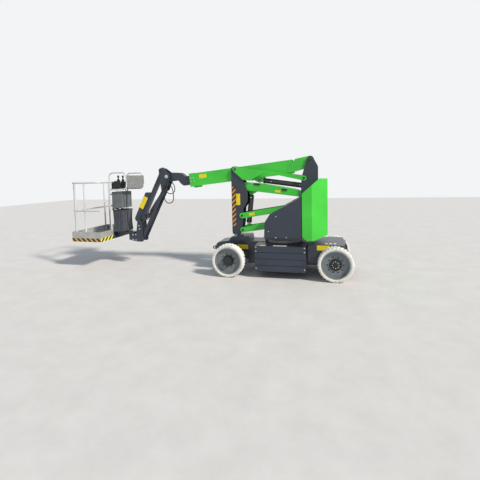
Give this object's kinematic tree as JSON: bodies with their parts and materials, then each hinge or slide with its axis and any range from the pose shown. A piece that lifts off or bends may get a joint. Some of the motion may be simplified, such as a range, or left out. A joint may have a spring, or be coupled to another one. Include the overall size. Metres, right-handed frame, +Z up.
{
  "type": "articulating boom lift",
  "caption": "Compact electric articulating boom lift on solid tyres: turntable, stacked parallelogram tower, telescopic boom, jib and a railed platform.",
  "frame": {"origin": "under the middle of the machine's length, on the ground plane", "axes": "+X from the chassis towards the platform, +Y the machine's left, +Z up"},
  "size_m": [5.1414, 1.232, 2.029],
  "materials": {
    "green_paint": "gloss paint",
    "slate_paint": "satin paint",
    "battery_cover_paint": "satin paint",
    "rim_paint": "satin paint",
    "pale_tyre": "non-marking solid rubber",
    "ring_steel": "machined steel",
    "drive_casing": "black painted casting",
    "chrome_rod": "hard chrome",
    "cylinder_paint": "black paint",
    "battery_case": "moulded plastic",
    "tank_paint": "satin paint",
    "cabinet_paint": "light grey moulding",
    "control_case": "moulded plastic",
    "platform_paint": "light grey paint",
    "floor_plate": "pressed plate",
    "sheet_grey": "grey sheet",
    "bag_cloth": "coated cloth",
    "console_case": "moulded plastic",
    "hose_rubber": "rubber hose",
    "counterweight_paint": "gloss paint on a casting"
  },
  "bodies": {
    "chassis": {"chassis_frame": "slate_paint", "front_hood": "slate_paint", "battery_box_left": "battery_cover_paint", "battery_box_right": "battery_cover_paint", "battery_packs": "battery_case", "slew_ring": "ring_steel", "rear_drives": "drive_casing", "steer_cylinder": "cylinder_paint", "tie_downs": "slate_paint"},
    "steer_rod": {"steer_rod": "chrome_rod"},
    "knuckle_left": {"knuckle_left": "drive_casing"},
    "knuckle_right": {"knuckle_right": "drive_casing"},
    "wheel_front_left": {"tyre_front_left": "pale_tyre", "rim_front_left": "rim_paint"},
    "wheel_front_right": {"tyre_front_right": "pale_tyre", "rim_front_right": "rim_paint"},
    "wheel_rear_left": {"tyre_rear_left": "pale_tyre", "rim_rear_left": "rim_paint"},
    "wheel_rear_right": {"tyre_rear_right": "pale_tyre", "rim_rear_right": "rim_paint"},
    "turntable": {"turntable_base": "slate_paint", "counterweight": "counterweight_paint", "power_unit": "tank_paint", "control_cabinet": "control_case", "housing_left": "slate_paint", "housing_right": "slate_paint"},
    "cover_left": {"cover_left": "slate_paint"},
    "cover_right": {"cover_right": "slate_paint"},
    "lower_arm_bottom": {"lower_arm_bottom": "green_paint"},
    "lower_arm_top": {"lower_arm_top": "green_paint"},
    "front_upright": {"front_upright": "slate_paint"},
    "upper_arm_top": {"upper_arm_top": "green_paint"},
    "upper_arm_bottom": {"upper_arm_bottom": "green_paint"},
    "rear_upright": {"rear_upright": "slate_paint"},
    "boom": {"main_boom": "green_paint"},
    "fly": {"fly_boom": "slate_paint"},
    "level_head": {"level_head": "slate_paint", "hose_head_upper": "hose_rubber", "hose_head_lower": "hose_rubber"},
    "jib_arm": {"jib_arm": "slate_paint"},
    "jib_link": {"jib_link": "slate_paint"},
    "support": {"platform_support": "slate_paint"},
    "platform": {"platform_bracket": "slate_paint", "platform_floor": "floor_plate", "platform_rails": "platform_paint", "guard_sheet": "sheet_grey", "console_box": "console_case", "platform_cabinet": "cabinet_paint", "tool_bag": "bag_cloth", "control_cable": "hose_rubber"},
    "entry_bar": {"entry_bar": "platform_paint"},
    "tower_cylinder_barrel": {"tower_cylinder_barrel": "cylinder_paint"},
    "tower_cylinder_rod": {"tower_cylinder_rod": "chrome_rod"},
    "boom_cylinder_barrel": {"boom_cylinder_barrel": "cylinder_paint"},
    "boom_cylinder_rod": {"boom_cylinder_rod": "chrome_rod"},
    "jib_cylinder_barrel": {"jib_cylinder_barrel": "cylinder_paint"},
    "jib_cylinder_rod": {"jib_cylinder_rod": "chrome_rod"}
  },
  "joints": [
    {"name": "slew", "type": "hinge", "parent": "chassis", "child": "turntable", "pos_m": [-1.41225, 0, 0.62], "axis": [0, 0, 1], "range_deg": [-177.5, 177.5]},
    {"name": "steer_left", "type": "hinge", "parent": "chassis", "child": "knuckle_left", "pos_m": [-0.53325, 0.42, 0.2795], "axis": [0, 0, 1], "range_deg": [-45, 45]},
    {"name": "steer_right", "type": "hinge", "parent": "chassis", "child": "knuckle_right", "pos_m": [-0.53325, -0.42, 0.2795], "axis": [0, 0, 1], "range_deg": [-45, 45]},
    {"name": "steer_stroke", "type": "slide", "parent": "chassis", "child": "steer_rod", "axis": [0, 1, 0], "range_m": [-0.08483, 0.08483]},
    {"name": "front_left_spin", "type": "hinge", "parent": "knuckle_left", "child": "wheel_front_left", "pos_m": [-0.53325, 0.519, 0.2795], "axis": [0, 1, 0], "continuous": true},
    {"name": "front_right_spin", "type": "hinge", "parent": "knuckle_right", "child": "wheel_front_right", "pos_m": [-0.53325, -0.519, 0.2795], "axis": [0, 1, 0], "continuous": true},
    {"name": "rear_left_spin", "type": "hinge", "parent": "chassis", "child": "wheel_rear_left", "pos_m": [-2.29125, 0.519, 0.2795], "axis": [0, 1, 0], "continuous": true},
    {"name": "rear_right_spin", "type": "hinge", "parent": "chassis", "child": "wheel_rear_right", "pos_m": [-2.29125, -0.519, 0.2795], "axis": [0, 1, 0], "continuous": true},
    {"name": "cover_left_hinge", "type": "hinge", "parent": "turntable", "child": "cover_left", "pos_m": [-1.76325, 0.558, 1], "axis": [0, 0, 1], "range_deg": [0, 100]},
    {"name": "cover_right_hinge", "type": "hinge", "parent": "turntable", "child": "cover_right", "pos_m": [-1.76325, -0.558, 1], "axis": [0, 0, -1], "range_deg": [0, 100]},
    {"name": "tower_lift", "type": "hinge", "parent": "turntable", "child": "lower_arm_bottom", "pos_m": [-1.78025, 0, 0.919], "axis": [0, -1, 0], "range_deg": [0, 72]},
    {"name": "lower_top", "type": "hinge", "parent": "turntable", "child": "lower_arm_top", "pos_m": [-1.77225, 0, 1.175], "axis": [0, -1, 0], "range_deg": [0, 72]},
    {"name": "front_level", "type": "hinge", "parent": "lower_arm_bottom", "child": "front_upright", "pos_m": [-0.70225, 0, 0.748], "axis": [0, -1, 0], "range_deg": [-72, 0]},
    {"name": "upper_top", "type": "hinge", "parent": "front_upright", "child": "upper_arm_top", "pos_m": [-0.57925, 0, 1.835], "axis": [0, -1, 0], "range_deg": [-72, 0]},
    {"name": "upper_bottom", "type": "hinge", "parent": "front_upright", "child": "upper_arm_bottom", "pos_m": [-0.56925, 0, 1.55], "axis": [0, -1, 0], "range_deg": [-72, 0]},
    {"name": "rear_level", "type": "hinge", "parent": "upper_arm_bottom", "child": "rear_upright", "pos_m": [-1.77725, 0, 1.367], "axis": [0, -1, 0], "range_deg": [0, 72]},
    {"name": "tower_swing", "type": "hinge", "parent": "upper_arm_bottom", "child": "tower_cylinder_barrel", "pos_m": [-0.84925, 0, 1.408], "axis": [0, -1, 0], "range_deg": [0, 66.04]},
    {"name": "tower_stroke", "type": "slide", "parent": "tower_cylinder_barrel", "child": "tower_cylinder_rod", "axis": [0.1122, 0, -0.9937], "range_m": [0, 0.47594]},
    {"name": "boom_lift", "type": "hinge", "parent": "rear_upright", "child": "boom", "pos_m": [-1.89325, 0, 1.967], "axis": [0, -1, 0], "range_deg": [0, 75]},
    {"name": "boom_swing", "type": "hinge", "parent": "rear_upright", "child": "boom_cylinder_barrel", "pos_m": [-1.83725, 0, 1.512], "axis": [0, -1, 0], "range_deg": [0, 59.76]},
    {"name": "boom_stroke", "type": "slide", "parent": "boom_cylinder_barrel", "child": "boom_cylinder_rod", "axis": [0.9897, 0, 0.1432], "range_m": [0, 0.48228]},
    {"name": "telescope", "type": "slide", "parent": "boom", "child": "fly", "axis": [0.9945, 0, -0.1045], "range_m": [0, 1.45]},
    {"name": "head_level", "type": "hinge", "parent": "fly", "child": "level_head", "pos_m": [0.78316, 0, 1.73497], "axis": [0, -1, 0], "range_deg": [-75, 0]},
    {"name": "jib_lift", "type": "hinge", "parent": "level_head", "child": "jib_arm", "pos_m": [0.88775, 0, 1.85], "axis": [0, -1, 0], "range_deg": [0, 132]},
    {"name": "jib_link_swing", "type": "hinge", "parent": "level_head", "child": "jib_link", "pos_m": [0.85275, 0, 1.5], "axis": [0, -1, 0], "range_deg": [0, 132]},
    {"name": "support_level", "type": "hinge", "parent": "jib_arm", "child": "support", "pos_m": [1.39204, 0, 0.86453], "axis": [0, -1, 0], "range_deg": [-132, 0]},
    {"name": "jib_swing", "type": "hinge", "parent": "level_head", "child": "jib_cylinder_barrel", "pos_m": [0.85275, 0, 1.5], "axis": [0, -1, 0], "range_deg": [0, 123.55]},
    {"name": "jib_stroke", "type": "slide", "parent": "jib_cylinder_barrel", "child": "jib_cylinder_rod", "axis": [0.5919, 0, -0.806], "range_m": [0, 0.626]},
    {"name": "platform_rotate", "type": "hinge", "parent": "support", "child": "platform", "pos_m": [1.58775, 0, 0.64], "axis": [0, 0, 1], "range_deg": [-90, 90]},
    {"name": "entry_bar_hinge", "type": "hinge", "parent": "platform", "child": "entry_bar", "pos_m": [2.23275, 0.523, 1.118], "axis": [0, 1, 0], "range_deg": [0, 80]}
  ],
  "couplings": [
    {"joint": "steer_right", "follows": "steer_left", "ratio": 1},
    {"joint": "steer_stroke", "follows": "steer_left", "m_per_rad": 0.108},
    {"joint": "lower_top", "follows": "tower_lift", "ratio": 1},
    {"joint": "front_level", "follows": "tower_lift", "ratio": -1},
    {"joint": "upper_top", "follows": "tower_lift", "ratio": -1},
    {"joint": "upper_bottom", "follows": "tower_lift", "ratio": -1},
    {"joint": "rear_level", "follows": "tower_lift", "ratio": 1},
    {"joint": "tower_swing", "follows": "tower_lift", "ratio": 0.9171},
    {"joint": "tower_stroke", "follows": "tower_lift", "m_per_rad": 0.3787},
    {"joint": "boom_swing", "follows": "boom_lift", "ratio": 0.7966},
    {"joint": "boom_stroke", "follows": "boom_lift", "m_per_rad": 0.3684},
    {"joint": "head_level", "follows": "boom_lift", "ratio": -1},
    {"joint": "jib_link_swing", "follows": "jib_lift", "ratio": 1},
    {"joint": "support_level", "follows": "jib_lift", "ratio": -1},
    {"joint": "jib_swing", "follows": "jib_lift", "ratio": 0.9359},
    {"joint": "jib_stroke", "follows": "jib_lift", "m_per_rad": 0.2717}
  ]
}
